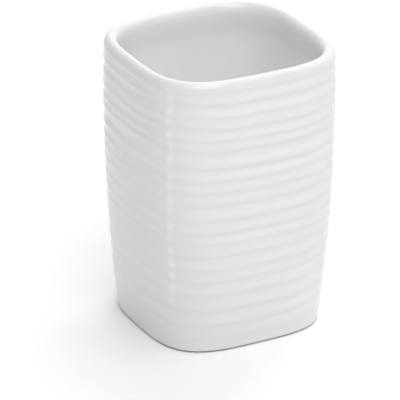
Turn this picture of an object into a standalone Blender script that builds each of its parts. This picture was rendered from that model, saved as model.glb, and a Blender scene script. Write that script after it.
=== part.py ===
"""Toothbrush holder: one slip-cast, white glazed ceramic tumbler that stands on four stick-on pads.

Metres, +Z up, front towards -Y. The origin is on the table, under the middle of the tumbler.
Run it with: blender --background --python part.py
"""

import math

import bpy

# The tumbler's outside, measured over the crests of its rings
overall_height = 0.105
widest_width = 0.0738
widest_depth = 0.0712
widest_height = 0.084
foot_width = 0.0650

# The tumbler's section is a rounded square: 2 would be an ellipse, and a high number a sharp square
section_power = 3.44

# The rings round the outside, as a potter's fingers leave them: how deep the grooves are between their
# crests, and the height of each crest as a share of the height below the lip
groove_depth = 0.0003
ring_height_shares = (
    0.07, 0.12, 0.18, 0.24, 0.29, 0.34, 0.39, 0.435, 0.48, 0.53,
    0.59, 0.635, 0.68, 0.73, 0.79, 0.83, 0.87, 0.915, 0.965,
)

# Walls, lip and inside floor
wall_thickness = 0.0045
lip_thickness = 0.0050
lip_height = 0.0040
lip_blend_height = 0.005
floor_thickness = 0.005
inside_floor_radius = 0.008

# The foot ring that is left bare of glaze, and the shallow recess inside it
foot_edge_radius = 0.0006
foot_ring_width = 0.0045
foot_clearance = 0.0004
recess_slope_width = 0.0008

# The pads, stuck in the recess near its corners
pad_diameter = 0.010
pad_thickness = 0.0016
pad_edge_radius = 0.0004
pad_to_recess_edge = 0.0025
adhesive_gap = 0.0003

# How finely curves are divided, and how much closer the points stand at the section's corners
section_steps = 48
corner_crowding_share = 0.35
ring_steps = 4
lip_steps = 5
foot_edge_steps = 4
inside_radius_steps = 5
inside_wall_steps = 6
pad_steps = 32
pad_edge_steps = 2

# Points closer than this are one point
weld_distance = 0.00001

# Edges that turn by more than this are drawn sharp
sharp_edge_angle = math.radians(50)

# Colours, as linear red, green and blue, and how rough each surface is
glaze_colour = (0.84, 0.84, 0.83)
glaze_roughness = 0.15
silicone_colour = (0.62, 0.62, 0.61)
silicone_roughness = 0.55

# Sizes that follow from those above
widest_half_width = widest_width / 2
foot_half_width = foot_width / 2
depth_ratio = widest_depth / widest_width
ring_zone_height = overall_height - lip_height
foot_edge_height = foot_clearance + foot_edge_radius
recess_height = pad_thickness + adhesive_gap
inside_floor_height = recess_height + floor_thickness


def clear_scene():
    for thing in list(bpy.data.objects):
        bpy.data.objects.remove(thing, do_unlink=True)


def new_collection(name):
    collection = bpy.data.collections.new(name)
    bpy.context.scene.collection.children.link(collection)
    return collection


def new_material(name, colour, roughness):
    material = bpy.data.materials.new(name)
    material.use_nodes = True
    surface = material.node_tree.nodes["Principled BSDF"]
    surface.inputs["Base Color"].default_value = (*colour, 1)
    surface.inputs["Roughness"].default_value = roughness
    surface.inputs["Metallic"].default_value = 0
    return material


def move_to(collection, thing):
    for other in list(thing.users_collection):
        other.objects.unlink(thing)
    collection.objects.link(thing)


def barrel_half_width(height):
    """Half the width over the crests: one curve from the foot through the widest place to the lip."""
    below_widest = (widest_height - height) / widest_height
    return widest_half_width - (widest_half_width - foot_half_width) * below_widest**2


def arc(centre, radii, start, end, steps):
    """Points on a quarter of an ellipse, or part of one, from angle start to angle end, both included."""
    angles = [start + (end - start) * step / steps for step in range(steps + 1)]
    return [
        (centre[0] + radii[0] * math.cos(angle), centre[1] + radii[1] * math.sin(angle))
        for angle in angles
    ]


def inside_profile():
    """From the middle of the inside floor out to the wall, and up it to the lip."""
    lowest_wall = inside_floor_height + inside_floor_radius
    wall_top = ring_zone_height - lip_blend_height
    fillet_centre = barrel_half_width(lowest_wall) - wall_thickness - inside_floor_radius
    points = [(0, inside_floor_height)]
    points += arc(
        (fillet_centre, lowest_wall),
        (inside_floor_radius, inside_floor_radius),
        -math.pi / 2,
        0,
        inside_radius_steps,
    )
    for step in range(1, inside_wall_steps + 1):
        height = lowest_wall + (wall_top - lowest_wall) * step / inside_wall_steps
        points.append((barrel_half_width(height) - wall_thickness, height))
    return points


def lip_profile():
    """Over the lip, from its inner side to its outer side: half an ellipse that stands on the wall."""
    middle = (barrel_half_width(ring_zone_height) - lip_thickness / 2, ring_zone_height)
    return arc(middle, (lip_thickness / 2, lip_height), math.pi, 0, 2 * lip_steps)


def ringed_profile():
    """Down the outside from below the lip to the foot's edge: a smooth wave from each crest to the next."""
    crests = [share * ring_zone_height for share in reversed(ring_height_shares)]
    points = []
    for upper, lower in zip([ring_zone_height] + crests, crests + [foot_edge_height]):
        for step in range(1, ring_steps + 1):
            height = upper + (lower - upper) * step / ring_steps
            wave = (1 - math.cos(2 * math.pi * step / ring_steps)) / 2
            points.append((barrel_half_width(height) - groove_depth * wave, height))
    return points


def foot_ring_half_widths():
    """Half widths of the flat foot ring's outer and inner edges, and of the recess's flat ceiling."""
    outer = barrel_half_width(foot_edge_height) - foot_edge_radius
    inner = outer - foot_ring_width
    return outer, inner, inner - recess_slope_width


def foot_profile():
    """Round the foot's edge, across the foot ring, and up into the recess to its middle."""
    outer, inner, recess = foot_ring_half_widths()
    edge = arc(
        (outer, foot_edge_height),
        (foot_edge_radius, foot_edge_radius),
        0,
        -math.pi / 2,
        foot_edge_steps,
    )
    return edge[1:] + [(inner, foot_clearance), (recess, recess_height), (0, recess_height)]


def section_reach(angle):
    """How far a rounded square of half width 1 reaches from its middle at this angle."""
    powers = abs(math.cos(angle)) ** section_power + abs(math.sin(angle)) ** section_power
    return powers ** (-1 / section_power)


def turned(name, profile):
    """The profile turned round Z by a Screw modifier, as a mesh of its own."""
    outline = bpy.data.meshes.new(name + "_profile")
    points = [(half_width, 0, height) for half_width, height in profile]
    edges = [(index, index + 1) for index in range(len(points) - 1)]
    outline.from_pydata(points, edges, [])
    lathe = bpy.data.objects.new(name + "_lathe", outline)
    bpy.context.scene.collection.objects.link(lathe)
    screw = lathe.modifiers.new("turn", "SCREW")
    screw.steps = section_steps
    screw.render_steps = section_steps
    screw.use_merge_vertices = True
    screw.merge_threshold = weld_distance
    graph = bpy.context.evaluated_depsgraph_get()
    mesh = bpy.data.meshes.new_from_object(lathe.evaluated_get(graph))
    bpy.data.objects.remove(lathe, do_unlink=True)
    mesh.name = name
    return mesh


def make_squared(mesh):
    """Pushes a turned mesh out from circles to rounded squares, and in to the smaller depth."""
    for vertex in mesh.vertices:
        half_width = math.hypot(vertex.co.x, vertex.co.y)
        angle = math.atan2(vertex.co.y, vertex.co.x)
        angle += corner_crowding_share * math.sin(4 * angle) / 4
        reach = half_width * section_reach(angle)
        vertex.co.x = reach * math.cos(angle)
        vertex.co.y = reach * math.sin(angle) * depth_ratio
    mesh.update()


def add_tumbler(collection):
    profile = inside_profile() + lip_profile() + ringed_profile() + foot_profile()
    mesh = turned("ceramic_tumbler", profile)
    make_squared(mesh)
    mesh.shade_smooth()
    mesh.materials.clear()
    mesh.materials.append(new_material("white_glazed_ceramic", glaze_colour, glaze_roughness))
    collection.objects.link(bpy.data.objects.new("ceramic_tumbler", mesh))


def pad_place():
    """Middle of the back right pad: in from the recess's corner by half a pad and a margin."""
    recess = foot_ring_half_widths()[-1]
    corner = recess * section_reach(math.pi / 4) * math.cos(math.pi / 4)
    inwards = pad_diameter / 2 + pad_to_recess_edge
    across = corner - inwards * math.cos(math.pi / 4)
    return across, across * depth_ratio


def add_foot_pads(collection):
    material = new_material("frosted_silicone", silicone_colour, silicone_roughness)
    across, along = pad_place()
    for side, x in (("left", -across), ("right", across)):
        for end, y in (("front", -along), ("back", along)):
            bpy.ops.mesh.primitive_cylinder_add(
                vertices=pad_steps,
                radius=pad_diameter / 2,
                depth=pad_thickness,
                location=(x, y, pad_thickness / 2),
            )
            pad = bpy.context.object
            pad.name = f"foot_pad_{end}_{side}"
            pad.data.name = pad.name
            rounding = pad.modifiers.new("rounded_edge", "BEVEL")
            rounding.width = pad_edge_radius
            rounding.segments = pad_edge_steps
            rounding.limit_method = "ANGLE"
            pad.data.shade_smooth()
            pad.data.set_sharp_from_angle(angle=sharp_edge_angle)
            pad.data.materials.append(material)
            move_to(collection, pad)


clear_scene()
holder = new_collection("toothbrush_holder")
add_tumbler(holder)
add_foot_pads(holder)
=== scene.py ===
import math

import bpy
import numpy as np
from mathutils import Matrix, Vector


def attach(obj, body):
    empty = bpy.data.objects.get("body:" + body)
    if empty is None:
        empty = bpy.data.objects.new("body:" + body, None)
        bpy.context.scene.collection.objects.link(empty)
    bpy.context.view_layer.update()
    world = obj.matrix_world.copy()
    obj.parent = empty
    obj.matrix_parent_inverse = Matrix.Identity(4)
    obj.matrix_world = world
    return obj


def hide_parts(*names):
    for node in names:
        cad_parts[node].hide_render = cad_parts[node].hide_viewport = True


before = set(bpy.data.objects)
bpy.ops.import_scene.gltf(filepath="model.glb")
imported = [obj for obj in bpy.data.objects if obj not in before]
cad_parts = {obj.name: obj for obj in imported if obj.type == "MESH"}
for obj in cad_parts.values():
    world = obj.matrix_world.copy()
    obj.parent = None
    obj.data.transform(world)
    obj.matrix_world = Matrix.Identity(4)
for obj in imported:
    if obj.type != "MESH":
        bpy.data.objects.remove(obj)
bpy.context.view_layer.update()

millimetre = 0.001

# The tumbler, one slip-cast piece: a barrel with a rounded-square section, a round lip and a bare
# foot. A half width goes from the middle to a flat side, across the front. A section power of 2
# would be an ellipse, and a high one a sharp square.
overall_height = 105.0 * millimetre
widest_half_width = 36.9 * millimetre
widest_height = 84.0 * millimetre
foot_half_width = 32.5 * millimetre
depth_ratio = 71.2 / 73.8
section_power = 3.44

wall_thickness = 4.5 * millimetre
lip_thickness = 5.0 * millimetre
lip_height = 4.0 * millimetre
lip_bead_height = 1.5 * millimetre
lip_blend_height = 7.0 * millimetre
inside_floor_height = 6.9 * millimetre
inside_floor_radius = 8.0 * millimetre

foot_edge_radius = 0.9 * millimetre
foot_ring_width = 4.5 * millimetre
foot_clearance = 0.45 * millimetre
recess_slope_width = 0.8 * millimetre
recess_height = 1.9 * millimetre
# Faces whose middle is below this are left bare of glaze
bare_clay_height = foot_clearance + 0.1 * millimetre

# The rings that the mould's master got from a potter's fingers, from the lip down: the height of
# each crest in millimetres, and how deep the groove under it is pressed, as a share of ring_depth.
rings = (
    (102, 1.5), (97.5, 2.5), (92.5, 1.3), (88, 2.0), (83.5, 1.6), (80, 2.7), (73.5, 2.4),
    (68.5, 1.4), (64, 1.3), (59.5, 2.0), (53.5, 1.4), (48.5, 1.5), (44, 0.9), (39.5, 1.1),
    (34, 0.7), (29.5, 1.5), (24, 1.2), (18, 1.3), (12, 0.8), (7, 0.3), (1, 1),
)
ring_depth = 0.22 * millimetre
ridge_sharpness = 0.035

# The fingers didn't go round level, nor press alike everywhere. At three heights, how far the rings
# climb and what share of their depth they have, each at nine places from the back left corner
# over the left face, the front left corner and the front face to the front right corner. Heights
# and climbs are in millimetres. The top and bottom rings are level.
noted_heights = (15, 65, 88)
ring_climbs = (
    (0.3, 0.3, -0.4, 1.2, -0.4, -0.4, -0.5, -0.5, 1.5),
    (0.3, 0.1, -0.3, 1.3, 0.5, 0.3, -0.3, -0.2, 0.3),
    (-0.4, -0.2, -0.5, -0.2, 1.0, 0.1, -0.2, -0.3, 0.2),
)
ring_pressures = (
    (0.6, 0.5, 0.5, 1.0, 0.7, 1.1, 1.0, 1.3, 0.5),
    (0.5, 0.7, 0.3, 0.4, 0.6, 1.1, 1.2, 1.3, 0.3),
    (0.5, 0.7, 0.9, 1.6, 0.7, 1.1, 1.1, 1.2, 0.4),
)
first_note_angle = math.radians(135)
note_step = math.radians(22.5)
least_pressure = 0.05

# On the two sides that can't be seen, the rings wander by chance, about as much as on the others
ring_seed = 7
hidden_places = 7
hidden_sway = 0.35
hidden_depth_change = 0.3
most_hidden_depth_change = 0.6

# Short, faint finger marks that lie between and across the rings, some pressed in and some standing
# out: how many, and the least and most of each one's height, how far it climbs, half its length in
# degrees round the tumbler, its depth and half its width up the wall, the others in millimetres
finger_mark_count = 60
finger_mark_heights = (10, 98)
finger_mark_climb = (-0.7, 0.7)
finger_mark_half_length = (10, 21)
finger_mark_depth = (0.08, 0.16)
finger_mark_half_width = (0.6, 1.0)

# A painted highlight: a row of pale beads down the front left corner, one on the upper flank of
# each ring, painted into the glaze's colour: its place and half its width in degrees, where it
# starts and over what height it fades in, how strong the highlight is on average there and how
# much stronger a bead is, as shares of the strongest, and an angle from the row past which nothing
# changes
painted_glint_angle = 218.4
painted_glint_half_angle = 3.0
painted_glint_foot = 17.0 * millimetre
painted_glint_fading = 6.0 * millimetre
painted_glint_mean = 0.6
painted_glint_beading = 0.4
far_from_painted_glint = 10 * painted_glint_half_angle

# How much glaze pooled, as shares of what a groove of ring_depth holds
inside_pooling = 0.5
most_pooling = 2

# The pads, moulded silicone on a film of adhesive, stuck up in the recess near its corners
pad_radius = 5.0 * millimetre
pad_thickness = 1.6 * millimetre
pad_edge = 0.35 * millimetre
pad_dish_radius = 3.4 * millimetre
pad_dish_depth = 0.12 * millimetre
pad_dish_slope = 4 * pad_dish_depth
pad_dish_flat = 8 * pad_dish_depth
pad_across = 16.51 * millimetre
pad_along = 15.93 * millimetre
film_radius = 4.6 * millimetre
film_top = 1.86 * millimetre
film_rim = 1.0 * millimetre

# How finely the tumbler is divided round and along its outline, and how much closer at its corners
columns = 224
outside_row = 0.4 * millimetre
inside_floor_steps = 8
fillet_steps = 12
inside_wall_rows = 36
lip_blend_rows = 12
lip_steps = 32
foot_edge_steps = 6
foot_ring_steps = 4
recess_steps = 8
corner_crowding = 0.35
weld_distance = 0.002 * millimetre
tumbler_smooth_angle = math.radians(40)

# How finely the pads are divided, and how level a face counts as one of a pad's flat ends
pad_sides = 64
pad_edge_steps = 4
pad_smooth_angle = math.radians(35)
nearly_level = 0.99

# Colours, as sRGB
glaze_thin_on_crests = "e7e7e7"
glaze_pooled_in_grooves = "ebebeb"
# Inside: the poured glaze lies thicker, and its extra white is painted light that lifts the shade
# in the hollow
inside_glaze_and_light_dim = "eae9e9"
inside_glaze_and_light_bright = "efeeef"
# Painted highlight: the white of the beads down the front left corner
painted_glint_white = "f5f5f5"
# Painted shade: greys the lip's top, which faces the lamps overhead
lip_painted_shade_grey = "dfdfdf"
clay_dark = "c9c5be"
clay_light = "dad7d1"
silicone_clean = "c6c8c6"
silicone_dusty = "d6d7d4"
paper_white = "f2f2f2"
white = (1, 1, 1, 1)

# The colour sockets of a Mix node: two that go in and one that comes out
first_colour, second_colour, mixed_colour = 6, 7, 2

# The studio. Each soft box has a name, an azimuth and an elevation in degrees, a width and a height
# in metres, its watts, and whether the glaze mirrors it.
soft_boxes = (
    ("front_box", -15, 50, 1.0, 1.0, 11.4, True),
    ("front_left_box", -60, 50, 1.0, 1.0, 3.8, False),
    ("right_low_box", 45, 20, 1.0, 1.0, 1.0, False),
    ("right_box", 65, 40, 1.2, 1.2, 3.4, True),
    ("high_right_box", 60, 65, 1.2, 1.2, 6.5, True),
    ("back_right_box", 140, 45, 1.2, 1.2, 14.0, False),
    ("left_low_box", -90, 12, 0.6, 0.6, 0.8, False),
    ("high_left_back_box", -150, 50, 1.2, 1.2, 4.0, False),
)
box_distance = 1.5
paper_size = 4
paper_glow = 0.03

# The photograph's view: how far the camera is turned to the left, tilted down and rolled, how far
# off it is, how far the tumbler's foot lies from the line that it looks along, and its lens
camera_turn = math.radians(-28.05)
camera_tilt = math.radians(24.90)
camera_roll = math.radians(0.26)
camera_distance = 1.338
camera_aside = 6.365 * millimetre
camera_above = 39.302 * millimetre
sensor_width_in_mm = 36
lens_in_mm = 331.9
farthest_seen = 20


def barrel(height):
    """Half the width over the ring crests at this height."""
    return widest_half_width - (widest_half_width - foot_half_width) * (
        (widest_height - height) / widest_height) ** 2


def ease(share):
    return share * share * (3 - 2 * share)


def arc(middle, radii, start, end, steps):
    return [
        (middle[0] + radii[0] * math.cos(start + (end - start) * step / steps),
         middle[1] + radii[1] * math.sin(start + (end - start) * step / steps))
        for step in range(steps + 1)
    ]


def inside_outline():
    """From the middle of the inside floor, round its fillet and up the wall to under the lip."""
    lowest_wall = inside_floor_height + inside_floor_radius
    lip_foot = overall_height - lip_height
    bead_foot = lip_foot - lip_bead_height
    wall_top = bead_foot - lip_blend_height
    fillet_middle = barrel(lowest_wall) - wall_thickness - inside_floor_radius
    points = [(fillet_middle * step / inside_floor_steps, inside_floor_height)
              for step in range(inside_floor_steps)]
    points += arc((fillet_middle, lowest_wall), (inside_floor_radius, inside_floor_radius),
                  -math.pi / 2, 0, fillet_steps)
    for row in range(1, inside_wall_rows + 1):
        height = lowest_wall + (wall_top - lowest_wall) * row / inside_wall_rows
        points.append((barrel(height) - wall_thickness, height))
    for row in range(1, lip_blend_rows + 1):
        height = wall_top + (bead_foot - wall_top) * row / lip_blend_rows
        thickening = (lip_thickness - wall_thickness) * ease(row / lip_blend_rows)
        points.append((barrel(height) - (wall_thickness + thickening), height))
    points.append((barrel(lip_foot) - lip_thickness, (bead_foot + lip_foot) / 2))
    return points


def lip_outline():
    """Over the lip from its inner side to its outer side."""
    foot = overall_height - lip_height
    return arc((barrel(foot) - lip_thickness / 2, foot), (lip_thickness / 2, lip_height),
               math.pi, 0, lip_steps)


def outside_outline():
    """Down the barrel's outside from under the lip to the foot's edge."""
    top = overall_height - lip_height
    bottom = foot_clearance + foot_edge_radius
    rows = round((top - bottom) / outside_row)
    heights = [top + (bottom - top) * row / rows for row in range(1, rows + 1)]
    return [(barrel(height), height) for height in heights]


def foot_outline():
    """Round the foot's edge, across the foot ring and up into the recess to its middle."""
    edge_height = foot_clearance + foot_edge_radius
    outer = barrel(edge_height) - foot_edge_radius
    inner = outer - foot_ring_width
    recess = inner - recess_slope_width
    edge = arc((outer, edge_height), (foot_edge_radius, foot_edge_radius),
               0, -math.pi / 2, foot_edge_steps)
    flat = [(outer + (inner - outer) * step / foot_ring_steps, foot_clearance)
            for step in range(1, foot_ring_steps + 1)]
    ceiling = [(recess * (1 - step / recess_steps), recess_height)
               for step in range(recess_steps + 1)]
    return edge[1:] + flat + ceiling


def draw_outline(name, points):
    """Draws an outline point by point in the plane y = 0, from nothing but its first point."""
    bpy.ops.object.select_all(action="DESELECT")
    bpy.ops.mesh.primitive_plane_add(size=millimetre)
    piece = bpy.context.object
    piece.name = name
    piece.data.name = name
    bpy.ops.object.mode_set(mode="EDIT")
    bpy.ops.mesh.merge(type="CENTER")
    bpy.ops.transform.translate(value=(points[0][0], 0, points[0][1]))
    for (x, z), (next_x, next_z) in zip(points, points[1:]):
        bpy.ops.mesh.extrude_vertices_move(
            TRANSFORM_OT_translate={"value": (next_x - x, 0, next_z - z)})
    bpy.ops.object.mode_set(mode="OBJECT")
    return piece


def spin_round(steps):
    """Spins the outline just drawn once round Z and closes the seam and the two poles."""
    bpy.ops.object.mode_set(mode="EDIT")
    bpy.ops.mesh.select_all(action="SELECT")
    bpy.ops.mesh.spin(steps=steps, angle=2 * math.pi, center=(0, 0, 0), axis=(0, 0, 1))
    bpy.ops.mesh.select_all(action="SELECT")
    bpy.ops.mesh.remove_doubles(threshold=weld_distance)
    bpy.ops.mesh.normals_make_consistent(inside=False)
    bpy.ops.mesh.select_all(action="DESELECT")
    bpy.ops.object.mode_set(mode="OBJECT")


def vertex_places(piece):
    places = np.empty(len(piece.data.vertices) * 3)
    piece.data.vertices.foreach_get("co", places)
    return places.reshape(-1, 3)


def section_reach(angle):
    """How far a rounded square of half width 1 reaches from its middle at this angle."""
    powers = np.abs(np.cos(angle)) ** section_power + np.abs(np.sin(angle)) ** section_power
    return powers ** (-1 / section_power)


def degrees_past(place, angle):
    """How many degrees each angle is past a place round the tumbler, from -180 to 180."""
    return (np.degrees(angle) - place + 180) % 360 - 180


def round_the_tumbler(notes, hidden, angle):
    """A smooth closed curve round the tumbler through the nine notes and the seven hidden ones."""
    values = np.array(list(notes) + list(hidden), dtype=float)
    place = ((angle - first_note_angle) / note_step) % len(values)
    start = np.floor(place).astype(int)
    share = place - start
    before, here, there, after = (values[(start + step) % len(values)] for step in (-1, 0, 1, 2))
    return here + 0.5 * share * (there - before + share * (
        2 * before - 5 * here + 4 * there - after
        + share * (3 * (here - there) + after - before)))


def wandering_rings(angle, rng):
    """The height of each ring's crest at these angles, and the depth of the groove under it."""
    crests, depths = [], []
    for ring_height, strength in rings:
        level = ring_height in (rings[0][0], rings[-1][0])
        climbs = [0 if level else np.interp(ring_height, noted_heights, place)
                  for place in zip(*ring_climbs)]
        pressures = [np.interp(ring_height, noted_heights, place)
                     for place in zip(*ring_pressures)]
        hidden_climbs = rng.normal(0, 0 if level else hidden_sway, hidden_places)
        hidden_changes = rng.normal(0, hidden_depth_change, hidden_places)
        hidden_changes = hidden_changes.clip(-most_hidden_depth_change, most_hidden_depth_change)
        hidden_pressures = (1 + hidden_changes) / strength
        climb = round_the_tumbler(climbs, hidden_climbs, angle)
        pressure = round_the_tumbler(pressures, hidden_pressures, angle)
        crests.append((ring_height + climb) * millimetre)
        depths.append(ring_depth * (strength * pressure).clip(least_pressure))
    return crests, depths


def press_rings(crests, depths, height):
    """How far the wall dips in between the crests, and a wave that is 1 a little above each crest
    and -1 a little below it."""
    dip = np.zeros_like(height)
    above_crest = np.zeros_like(height)
    for upper, lower, depth in zip(crests, crests[1:], depths):
        share = (upper - height) / (upper - lower)
        between = (share > 0) & (share < 1)
        share = share + ridge_sharpness * np.sin(2 * math.pi * share)
        wave = (1 - np.cos(2 * math.pi * share)) / 2
        dip = np.where(between, depth * wave, dip)
        above_crest = np.where(between, -np.sin(2 * math.pi * share), above_crest)
    return dip, above_crest


def press_finger_marks(dip, angle, height, rng):
    for _ in range(finger_mark_count):
        mark_angle, mark_height = rng.uniform(0, 360), rng.uniform(*finger_mark_heights)
        climb = rng.uniform(*finger_mark_climb)
        half_length = rng.uniform(*finger_mark_half_length)
        half_width = rng.uniform(*finger_mark_half_width)
        depth = rng.uniform(*finger_mark_depth) * rng.choice((-1, 1))
        along = degrees_past(mark_angle, angle) / half_length
        away = (height / millimetre - mark_height - climb * along) / half_width
        fading = (1 - along.clip(-1, 1) ** 2) ** 2
        dip = dip + depth * millimetre * fading * np.exp(-away ** 2)
    return dip


def note_on(piece, name, values):
    """Notes a value at each vertex under a name, for a material to read."""
    piece.data.attributes.new(name, "FLOAT", "POINT").data.foreach_set("value", values)


def throw_rings(piece):
    """Squares the turned form, presses the rings and finger marks into its outside, and notes where
    the glaze lies thick and thin, and where painted shade (over the lip), painted light (inside)
    and a painted highlight (the beads) go.

    Each ring's crest keeps the barrel's width; between two crests the wall dips in.
    """
    places = vertex_places(piece)
    radius = np.hypot(places[:, 0], places[:, 1])
    angle = np.arctan2(places[:, 1], places[:, 0])
    angle = angle + corner_crowding * np.sin(4 * angle) / 4
    height = places[:, 2]

    rng = np.random.default_rng(ring_seed)
    crests, depths = wandering_rings(angle, rng)
    dip, above_crest = press_rings(crests, depths, height)
    dip = press_finger_marks(dip, angle, height, rng)
    middle_of_wall = barrel(height) - lip_thickness / 2
    outside = (radius > middle_of_wall) & (height > foot_clearance + foot_edge_radius)
    radius = radius - np.where(outside, dip, 0)

    reach = radius * section_reach(angle)
    places[:, 0] = reach * np.cos(angle)
    places[:, 1] = reach * np.sin(angle) * depth_ratio
    piece.data.vertices.foreach_set("co", places.ravel())

    pooling = np.where(outside, dip / ring_depth, inside_pooling).clip(0, most_pooling)
    up_the_lip = ((height - overall_height + lip_height) / lip_height).clip(0, 1)
    # Painted highlight: the beads are strongest on each ring's upper flank, where a low lamp's
    # glint falls
    glint_beading = np.where(outside, painted_glint_mean + painted_glint_beading * above_crest, 0)
    risen = ((height - painted_glint_foot) / painted_glint_fading).clip(0, 1)
    beside_painted_glint = np.abs(degrees_past(painted_glint_angle, angle)).clip(0, far_from_painted_glint)
    note_on(piece, "glaze_pooling", pooling)
    # Painted shade over the lip's top, strongest at its crest
    note_on(piece, "lip_painted_shade", ease(up_the_lip))
    # 1 inside, where the whiter glaze carries painted light that lifts the hollow's shade
    note_on(piece, "inside_glaze_and_light", np.where(radius < middle_of_wall, 1.0, 0.0))
    note_on(piece, "painted_glint_strength", glint_beading * risen)
    note_on(piece, "beside_painted_glint", beside_painted_glint)
    piece.data.update()


def linear(hex_colour):
    values = [int(hex_colour[start:start + 2], 16) / 255 for start in (0, 2, 4)]
    return tuple(v / 12.92 if v <= 0.04045 else ((v + 0.055) / 1.055) ** 2.4
                 for v in values) + (1,)


def add_node(tree, kind, settings=(), links=()):
    """Adds a node, sets its properties and sockets, and links its inputs."""
    node = tree.nodes.new(kind)
    for name, value in dict(settings).items():
        if hasattr(node, str(name)):
            setattr(node, name, value)
        else:
            node.inputs[name].default_value = value
    for name, source in dict(links).items():
        tree.links.new(source, node.inputs[name])
    return node


def new_material(name):
    material = bpy.data.materials.new(name)
    material.use_nodes = True
    return material, material.node_tree, material.node_tree.nodes["Principled BSDF"]


def white_glaze():
    """Slip-cast earthenware, dipped in an opaque white glaze and fired: glassy and softly
    mirror-like, whiter where the glaze pooled in the grooves and a little greyer over the ring
    crests, where it ran thin over the clay. It is whitest inside, where the poured glaze lies
    thickest and its extra white is painted light that lifts the shade in the hollow. The lip's top
    is greyed with painted shade. Down the front left corner stands a painted highlight, a row of
    pale beads, one on each ring and some fainter than others. A fine ripple softens its
    reflections."""
    material, tree, surface = new_material("fired_opaque_white_glaze")
    drift_size, glint_patch_size, ripple_size = 22 * millimetre, 4 * millimetre, 3.5 * millimetre
    ripple_height = 0.012 * millimetre
    where = add_node(tree, "ShaderNodeTexCoord").outputs["Object"]
    pooling = add_node(tree, "ShaderNodeAttribute", {"attribute_name": "glaze_pooling"})
    lip_shade = add_node(tree, "ShaderNodeAttribute", {"attribute_name": "lip_painted_shade"})
    inside_share = add_node(tree, "ShaderNodeAttribute", {"attribute_name": "inside_glaze_and_light"})
    glint_share = add_node(tree, "ShaderNodeAttribute", {"attribute_name": "painted_glint_strength"})
    beside = add_node(tree, "ShaderNodeAttribute", {"attribute_name": "beside_painted_glint"})
    drift = add_node(tree, "ShaderNodeTexNoise", {"Scale": 1 / drift_size, "Detail": 3.0},
                     {"Vector": where})
    amount = add_node(tree, "ShaderNodeMath", {"operation": "MULTIPLY", "use_clamp": True},
                      {0: pooling.outputs["Fac"], 1: drift.outputs["Fac"]})
    dipped = add_node(tree, "ShaderNodeMix",
                      {"data_type": "RGBA", first_colour: linear(glaze_thin_on_crests),
                       second_colour: linear(glaze_pooled_in_grooves)},
                      {"Factor": amount.outputs[0]})
    # Inside: poured glaze, whitened further with painted light that lifts the hollow's shade
    inside_white = add_node(tree, "ShaderNodeMix",
                      {"data_type": "RGBA", first_colour: linear(inside_glaze_and_light_dim),
                       second_colour: linear(inside_glaze_and_light_bright)},
                      {"Factor": drift.outputs["Fac"]})
    coat = add_node(tree, "ShaderNodeMix", {"data_type": "RGBA"},
                    {"Factor": inside_share.outputs["Fac"], first_colour: dipped.outputs[mixed_colour],
                     second_colour: inside_white.outputs[mixed_colour]})
    # Painted highlight: the row of beads down the front left corner, lighter on each ring's upper
    # flank
    in_glint_row = add_node(tree, "ShaderNodeMapRange",
                          {"interpolation_type": "SMOOTHSTEP", "From Max": painted_glint_half_angle,
                           "To Min": 1.0, "To Max": 0.0}, {"Value": beside.outputs["Fac"]})
    glint_patches = add_node(tree, "ShaderNodeTexNoise", {"Scale": 1 / glint_patch_size, "Detail": 1.0},
                       {"Vector": where})
    uneven_glints = add_node(tree, "ShaderNodeMapRange", {"From Min": 0.25, "From Max": 0.6},
                      {"Value": glint_patches.outputs["Fac"]})
    row = add_node(tree, "ShaderNodeMath", {"operation": "MULTIPLY", "use_clamp": True},
                   {0: glint_share.outputs["Fac"], 1: in_glint_row.outputs[0]})
    painted_beads = add_node(tree, "ShaderNodeMath", {"operation": "MULTIPLY", "use_clamp": True},
                     {0: row.outputs[0], 1: uneven_glints.outputs[0]})
    with_painted_beads = add_node(tree, "ShaderNodeMix",
                      {"data_type": "RGBA", second_colour: linear(painted_glint_white)},
                      {"Factor": painted_beads.outputs[0], first_colour: coat.outputs[mixed_colour]})
    # Painted shade: the lip's top is greyed
    colour = add_node(tree, "ShaderNodeMix",
                      {"data_type": "RGBA", second_colour: linear(lip_painted_shade_grey)},
                      {"Factor": lip_shade.outputs["Fac"],
                       first_colour: with_painted_beads.outputs[mixed_colour]})
    tree.links.new(colour.outputs[mixed_colour], surface.inputs["Base Color"])
    gloss = add_node(tree, "ShaderNodeMapRange", {"To Min": 0.12, "To Max": 0.2},
                     {"Value": drift.outputs["Fac"]})
    tree.links.new(gloss.outputs[0], surface.inputs["Roughness"])
    ripple = add_node(tree, "ShaderNodeTexNoise", {"Scale": 1 / ripple_size, "Detail": 2.0},
                      {"Vector": where})
    bump = add_node(tree, "ShaderNodeBump", {"Strength": 1.0, "Distance": ripple_height},
                    {"Height": ripple.outputs["Fac"]})
    tree.links.new(bump.outputs[0], surface.inputs["Normal"])
    surface.inputs["IOR"].default_value = 1.5
    return material


def bare_bisque():
    """The foot ring wiped clean of glaze before firing: chalky, matt, fine-grained clay. The grain
    is drawn several times as coarse as it is, so that it shows."""
    material, tree, surface = new_material("bare_fired_clay")
    grain_size, grain_height = 0.6 * millimetre, 0.03 * millimetre
    where = add_node(tree, "ShaderNodeTexCoord").outputs["Object"]
    grain = add_node(tree, "ShaderNodeTexNoise", {"Scale": 1 / grain_size, "Detail": 4.0},
                     {"Vector": where})
    colour = add_node(tree, "ShaderNodeMix",
                      {"data_type": "RGBA", first_colour: linear(clay_dark),
                       second_colour: linear(clay_light)}, {"Factor": grain.outputs["Fac"]})
    tree.links.new(colour.outputs[mixed_colour], surface.inputs["Base Color"])
    bump = add_node(tree, "ShaderNodeBump", {"Strength": 1.0, "Distance": grain_height},
                    {"Height": grain.outputs["Fac"]})
    tree.links.new(bump.outputs[0], surface.inputs["Normal"])
    surface.inputs["Roughness"].default_value = 0.9
    return material


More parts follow.
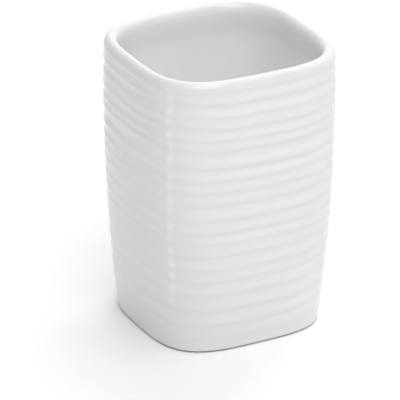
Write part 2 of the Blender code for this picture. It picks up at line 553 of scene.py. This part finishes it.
def make_tumbler():
    outline = inside_outline() + lip_outline() + outside_outline() + foot_outline()
    tumbler = draw_outline("glazed_tumbler", outline)
    spin_round(columns)
    throw_rings(tumbler)
    bpy.ops.object.shade_smooth_by_angle(angle=tumbler_smooth_angle)
    tumbler.data.materials.append(white_glaze())
    tumbler.data.materials.append(bare_bisque())
    for face in tumbler.data.polygons:
        if face.center.z < bare_clay_height:
            face.material_index = 1
    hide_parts("ceramic_tumbler")
    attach(tumbler, "root")


def moulded_silicone():
    """Translucent silicone rubber, pressed in a blasted mould: milky, waxy, with a fine even frost
    and a little dust caught on it. The frost is drawn coarser than it is, so that it shows."""
    material, tree, surface = new_material("moulded_frosted_silicone")
    dust_size, frost_size = 1.8 * millimetre, 0.25 * millimetre
    frost_height = 0.008 * millimetre
    where = add_node(tree, "ShaderNodeTexCoord").outputs["Object"]
    dust = add_node(tree, "ShaderNodeTexNoise", {"Scale": 1 / dust_size, "Detail": 4.0},
                    {"Vector": where})
    colour = add_node(tree, "ShaderNodeMix",
                      {"data_type": "RGBA", first_colour: linear(silicone_clean),
                       second_colour: linear(silicone_dusty)}, {"Factor": dust.outputs["Fac"]})
    tree.links.new(colour.outputs[mixed_colour], surface.inputs["Base Color"])
    dull = add_node(tree, "ShaderNodeMapRange", {"To Min": 0.42, "To Max": 0.62},
                    {"Value": dust.outputs["Fac"]})
    tree.links.new(dull.outputs[0], surface.inputs["Roughness"])
    frost = add_node(tree, "ShaderNodeTexNoise", {"Scale": 1 / frost_size, "Detail": 2.0},
                     {"Vector": where})
    bump = add_node(tree, "ShaderNodeBump", {"Strength": 1.0, "Distance": frost_height},
                    {"Height": frost.outputs["Fac"]})
    tree.links.new(bump.outputs[0], surface.inputs["Normal"])
    surface.inputs["IOR"].default_value = 1.41
    surface.inputs["Subsurface Weight"].default_value = 0.25
    surface.inputs["Subsurface Radius"].default_value = (1, 1, 1)
    surface.inputs["Subsurface Scale"].default_value = 1.5 * millimetre
    return material


def select_end_edges(pad):
    """Selects the edges round the pad's top and its underside, and leaves edit mode on."""
    bpy.ops.object.mode_set(mode="EDIT")
    bpy.context.tool_settings.mesh_select_mode = (False, True, False)
    bpy.ops.mesh.select_all(action="DESELECT")
    bpy.ops.object.mode_set(mode="OBJECT")
    for edge in pad.data.edges:
        one, other = (pad.data.vertices[index].co for index in edge.vertices)
        edge.select = abs(one.z - other.z) < pad_edge / 2
    bpy.ops.object.mode_set(mode="EDIT")


def select_end_face(pad, upwards):
    """Selects the round face that points up, where upwards is 1, or down, where it is -1."""
    bpy.ops.object.mode_set(mode="OBJECT")
    for face in pad.data.polygons:
        level = upwards * face.normal.z > nearly_level
        face.select = level and len(face.vertices) == pad_sides
    bpy.ops.object.mode_set(mode="EDIT")


def make_pad(material):
    """One pad at the origin: a round with its edges rounded, its underside dished and a film of
    adhesive on its top."""
    bpy.ops.object.select_all(action="DESELECT")
    bpy.ops.mesh.primitive_cylinder_add(vertices=pad_sides, radius=pad_radius,
                                        depth=pad_thickness, location=(0, 0, pad_thickness / 2))
    pad = bpy.context.object
    bpy.ops.object.transform_apply(location=True)
    select_end_edges(pad)
    bpy.ops.mesh.bevel(offset=pad_edge, segments=pad_edge_steps, affect="EDGES")
    bpy.context.tool_settings.mesh_select_mode = (False, False, True)
    select_end_face(pad, -1)
    bpy.ops.mesh.inset(thickness=pad_radius - pad_edge - pad_dish_radius)
    bpy.ops.mesh.inset(thickness=pad_dish_slope)
    bpy.ops.transform.translate(value=(0, 0, pad_dish_depth))
    bpy.ops.mesh.inset(thickness=pad_dish_flat)
    select_end_face(pad, 1)
    bpy.ops.mesh.inset(thickness=pad_radius - pad_edge - film_radius)
    bpy.ops.mesh.extrude_region_move(
        TRANSFORM_OT_translate={"value": (0, 0, film_top - pad_thickness)})
    bpy.ops.mesh.inset(thickness=film_rim)
    bpy.ops.object.mode_set(mode="OBJECT")
    bpy.ops.object.shade_smooth_by_angle(angle=pad_smooth_angle)
    pad.data.materials.append(material)
    return pad


def make_pads():
    first = make_pad(moulded_silicone())
    for side, x in (("left", -pad_across), ("right", pad_across)):
        for end, y in (("front", -pad_along), ("back", pad_along)):
            pad = first.copy()
            pad.data = first.data.copy()
            pad.name = pad.data.name = f"silicone_pad_{end}_{side}"
            bpy.context.scene.collection.objects.link(pad)
            bpy.ops.object.select_all(action="DESELECT")
            pad.select_set(True)
            bpy.context.view_layer.objects.active = pad
            bpy.ops.transform.translate(value=(x, y, 0))
            bpy.ops.object.transform_apply(location=True)
            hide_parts(f"foot_pad_{end}_{side}")
            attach(pad, "root")
    bpy.data.objects.remove(first)


def seen_not_lit(tree):
    """1 for a ray from the camera, off a mirror or through glass, and 0 for one that lights."""
    light = add_node(tree, "ShaderNodeLightPath")
    seen = add_node(tree, "ShaderNodeMath", {"operation": "ADD", "use_clamp": True},
                    {0: light.outputs["Is Camera Ray"], 1: light.outputs["Is Glossy Ray"]})
    seen = add_node(tree, "ShaderNodeMath", {"operation": "ADD", "use_clamp": True},
                    {0: seen.outputs[0], 1: light.outputs["Is Transmission Ray"]})
    return seen.outputs[0]


def add_floor():
    """White paper. A small glow seen by the camera and in reflections takes the far floor to
    white, and the tumbler's shadow stays."""
    bpy.ops.object.select_all(action="DESELECT")
    bpy.ops.mesh.primitive_plane_add(size=paper_size)
    floor = bpy.context.object
    floor.name = "paper_floor"
    material, tree, surface = new_material("white_paper_sweep")
    surface.inputs["Base Color"].default_value = linear(paper_white)
    surface.inputs["Roughness"].default_value = 0.9
    surface.inputs["Specular IOR Level"].default_value = 0.1
    glow = add_node(tree, "ShaderNodeMath", {"operation": "MULTIPLY", 1: paper_glow},
                    {0: seen_not_lit(tree)})
    surface.inputs["Emission Color"].default_value = white
    tree.links.new(glow.outputs[0], surface.inputs["Emission Strength"])
    floor.data.materials.append(material)


def add_soft_box(name, azimuth, elevation, width, height, watts, mirrored):
    """A soft box that looks at the tumbler. Azimuth 0 is in front, 90 to the right. One that is
    not mirrored leaves no glare on the glaze, as one behind a polarising sheet."""
    data = bpy.data.lights.new(name, "AREA")
    data.shape = "RECTANGLE"
    data.size = width
    data.size_y = height
    data.energy = watts
    lamp = bpy.data.objects.new(name, data)
    turn, lift = math.radians(azimuth), math.radians(elevation)
    aim = Vector((0, 0, overall_height / 2))
    out = Vector((math.sin(turn) * math.cos(lift), -math.cos(turn) * math.cos(lift),
                  math.sin(lift)))
    lamp.location = aim + out * box_distance
    lamp.rotation_euler = out.to_track_quat("Z", "Y").to_euler()
    lamp.visible_glossy = mirrored
    bpy.context.scene.collection.objects.link(lamp)


def add_world():
    """White as seen by the camera, in reflections and through glass; the soft boxes give the
    light."""
    world = bpy.data.worlds.new("studio")
    world.use_nodes = True
    tree = world.node_tree
    background = tree.nodes["Background"]
    background.inputs["Color"].default_value = white
    tree.links.new(seen_not_lit(tree), background.inputs["Strength"])
    bpy.context.scene.world = world


def add_camera():
    """The photograph's view: from the left of the front face, looking down at the mouth."""
    right = Vector((math.cos(camera_turn), math.sin(camera_turn), 0))
    ahead = Vector((-math.sin(camera_turn) * math.cos(camera_tilt),
                    math.cos(camera_turn) * math.cos(camera_tilt), -math.sin(camera_tilt)))
    down = ahead.cross(right)
    across = right * math.cos(camera_roll) - down * math.sin(camera_roll)
    downwards = right * math.sin(camera_roll) + down * math.cos(camera_roll)
    data = bpy.data.cameras.new("photo_camera")
    data.sensor_width = sensor_width_in_mm
    data.lens = lens_in_mm
    data.clip_end = farthest_seen
    camera = bpy.data.objects.new("photo_camera", data)
    camera.location = -(across * camera_aside + downwards * camera_above
                        + ahead * camera_distance)
    camera.rotation_euler = Matrix((across, -downwards, -ahead)).transposed().to_euler()
    bpy.context.scene.collection.objects.link(camera)
    bpy.context.scene.camera = camera


make_tumbler()
make_pads()

add_floor()
add_world()
for soft_box in soft_boxes:
    add_soft_box(*soft_box)
add_camera()
bpy.context.scene.view_settings.view_transform = "Standard"
